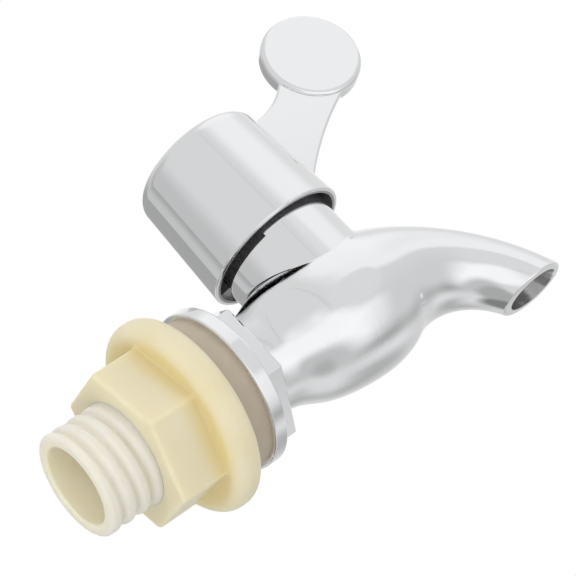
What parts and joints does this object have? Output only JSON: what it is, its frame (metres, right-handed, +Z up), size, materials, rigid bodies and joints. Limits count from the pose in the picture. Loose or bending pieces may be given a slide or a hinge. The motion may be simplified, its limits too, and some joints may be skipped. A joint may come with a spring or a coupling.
{
  "type": "beverage dispenser spigot",
  "caption": "Quarter-turn drinks dispenser tap with a bent spout, a round cap with a disc lever, and a threaded shank with a gasket and hand nut for the vessel's wall.",
  "frame": {"origin": "where the shank's thread axis crosses the rear sealing face of the body's wall flange", "axes": "+X along the thread axis towards the spout, +Z up along the tower and the lever's axis, +Y to the left of someone who looks along +X"},
  "size_m": [0.0847, 0.0298, 0.0602],
  "materials": {
    "chrome_plate": "bright chrome plate on plastic",
    "shank_plastic": "natural ivory moulded plastic, satin",
    "nut_plastic": "cream moulded plastic, satin",
    "gasket_elastomer": "tan soft elastomer",
    "inner_plastic": "white acetal",
    "ring_rubber": "black rubber"
  },
  "bodies": {
    "tap": {"spigot_body": "chrome_plate", "threaded_shank": "shank_plastic", "wall_nut": "nut_plastic", "wall_gasket": "gasket_elastomer", "bonnet": "inner_plastic", "bonnet_ring": "ring_rubber", "thrust_washer": "inner_plastic", "port_seal": "ring_rubber"},
    "lever": {"lever_cap": "chrome_plate", "valve_core": "inner_plastic", "lower_stem_ring": "ring_rubber", "upper_stem_ring": "ring_rubber"}
  },
  "joints": [
    {"name": "lever_turn", "type": "hinge", "parent": "tap", "child": "lever", "pos_m": [0.0237, 0, 0], "axis": [0, 0, 1], "range_deg": [0, 90]}
  ]
}
